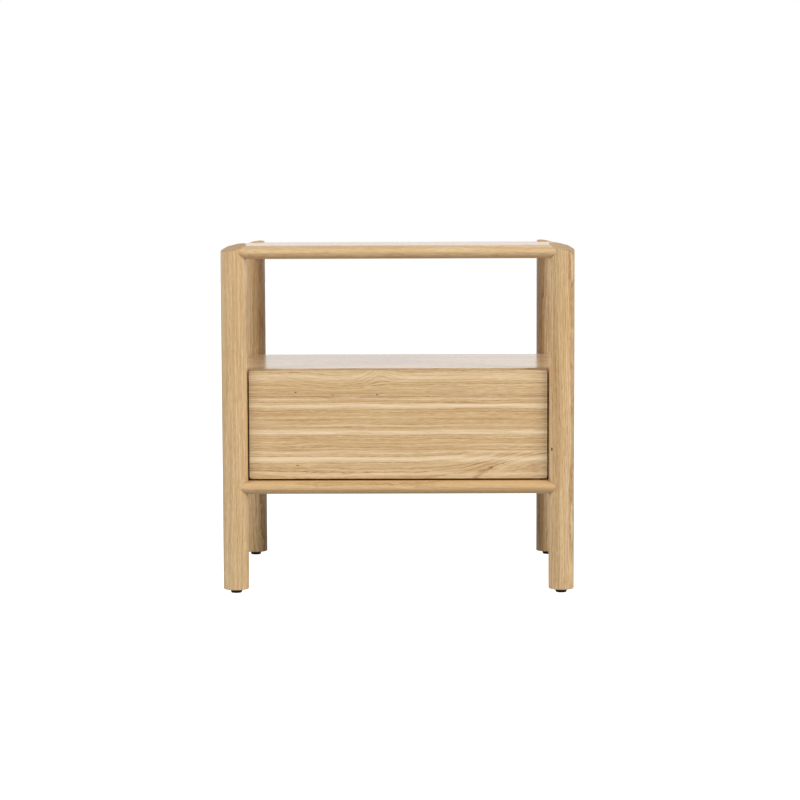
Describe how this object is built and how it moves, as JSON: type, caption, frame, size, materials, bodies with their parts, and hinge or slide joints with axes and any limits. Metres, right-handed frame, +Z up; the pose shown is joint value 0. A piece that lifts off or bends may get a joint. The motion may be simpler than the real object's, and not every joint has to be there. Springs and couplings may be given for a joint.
{
  "type": "nightstand",
  "caption": "Nightstand with round full-height posts, a top, an open compartment, a shelf and a handle-less drawer on ball-bearing slides.",
  "frame": {"origin": "on the floor under the middle of the nightstand", "axes": "+Z up, +X to the right across the front, +Y from the front to the back"},
  "size_m": [0.55, 0.44, 0.5478],
  "materials": {
    "oak_posts": "satin lacquer",
    "oak_boards": "satin lacquer",
    "oak_panels": "satin lacquer",
    "oak_drawer_front": "satin lacquer",
    "birch_plywood": "clear lacquer",
    "beech_dowels": "bare",
    "black_plastic": "matt",
    "grey_plastic": "matt",
    "slide_steel": "zinc plated",
    "zinc_fasteners": "zinc plated",
    "bright_steel": "polished"
  },
  "bodies": {
    "frame": {"post_front_left": "oak_posts", "post_front_right": "oak_posts", "post_rear_left": "oak_posts", "post_rear_right": "oak_posts", "top_board": "oak_boards", "shelf_board": "oak_boards", "bottom_board": "oak_boards", "side_panel_left": "oak_panels", "side_panel_right": "oak_panels", "back_panel": "oak_panels", "top_hanger_bolts": "zinc_fasteners", "top_bolt_washers": "zinc_fasteners", "top_bolt_nuts": "zinc_fasteners", "bottom_hanger_bolts": "zinc_fasteners", "bottom_bolt_washers": "zinc_fasteners", "bottom_bolt_nuts": "zinc_fasteners", "case_dowels": "beech_dowels", "back_panel_dowels": "beech_dowels", "back_panel_screws": "zinc_fasteners", "glides": "black_plastic", "glide_nails": "zinc_fasteners", "slide_packer_left": "birch_plywood", "slide_packer_right": "birch_plywood", "packer_screws": "zinc_fasteners", "slide_outer_left": "slide_steel", "slide_outer_right": "slide_steel", "slide_outer_screws": "zinc_fasteners", "latch_housing": "grey_plastic", "latch_spring": "zinc_fasteners", "latch_screws": "zinc_fasteners"},
    "drawer": {"drawer_front": "oak_drawer_front", "box_front": "birch_plywood", "box_back": "birch_plywood", "box_side_left": "birch_plywood", "box_side_right": "birch_plywood", "box_bottom": "birch_plywood", "box_dowels": "beech_dowels", "drawer_front_screws": "zinc_fasteners", "slide_inner_left": "slide_steel", "slide_inner_right": "slide_steel", "slide_inner_screws": "zinc_fasteners", "strike_plate": "zinc_fasteners", "strike_screws": "zinc_fasteners"},
    "slide_middles": {"slide_middle_left": "slide_steel", "slide_middle_right": "slide_steel"},
    "outer_cages": {"outer_ball_cages": "slide_steel", "outer_balls": "bright_steel"},
    "inner_cages": {"inner_ball_cages": "slide_steel", "inner_balls": "bright_steel"},
    "plunger": {"latch_plunger": "black_plastic", "latch_magnet": "bright_steel"}
  },
  "joints": [
    {"name": "drawer_slide", "type": "slide", "parent": "frame", "child": "drawer", "axis": [0, -1, 0], "range_m": [0, 0.3]},
    {"name": "middle_slide", "type": "slide", "parent": "frame", "child": "slide_middles", "axis": [0, -1, 0], "range_m": [0, 0.15]},
    {"name": "outer_cage_slide", "type": "slide", "parent": "frame", "child": "outer_cages", "axis": [0, -1, 0], "range_m": [0, 0.075]},
    {"name": "inner_cage_slide", "type": "slide", "parent": "frame", "child": "inner_cages", "axis": [0, -1, 0], "range_m": [0, 0.225]},
    {"name": "latch_push", "type": "slide", "parent": "frame", "child": "plunger", "axis": [0, 1, 0], "range_m": [0, 0.002], "stiffness_N_per_m": 300}
  ],
  "couplings": [
    {"joint": "middle_slide", "follows": "drawer_slide", "ratio": 0.5},
    {"joint": "outer_cage_slide", "follows": "drawer_slide", "ratio": 0.25},
    {"joint": "inner_cage_slide", "follows": "drawer_slide", "ratio": 0.75}
  ]
}
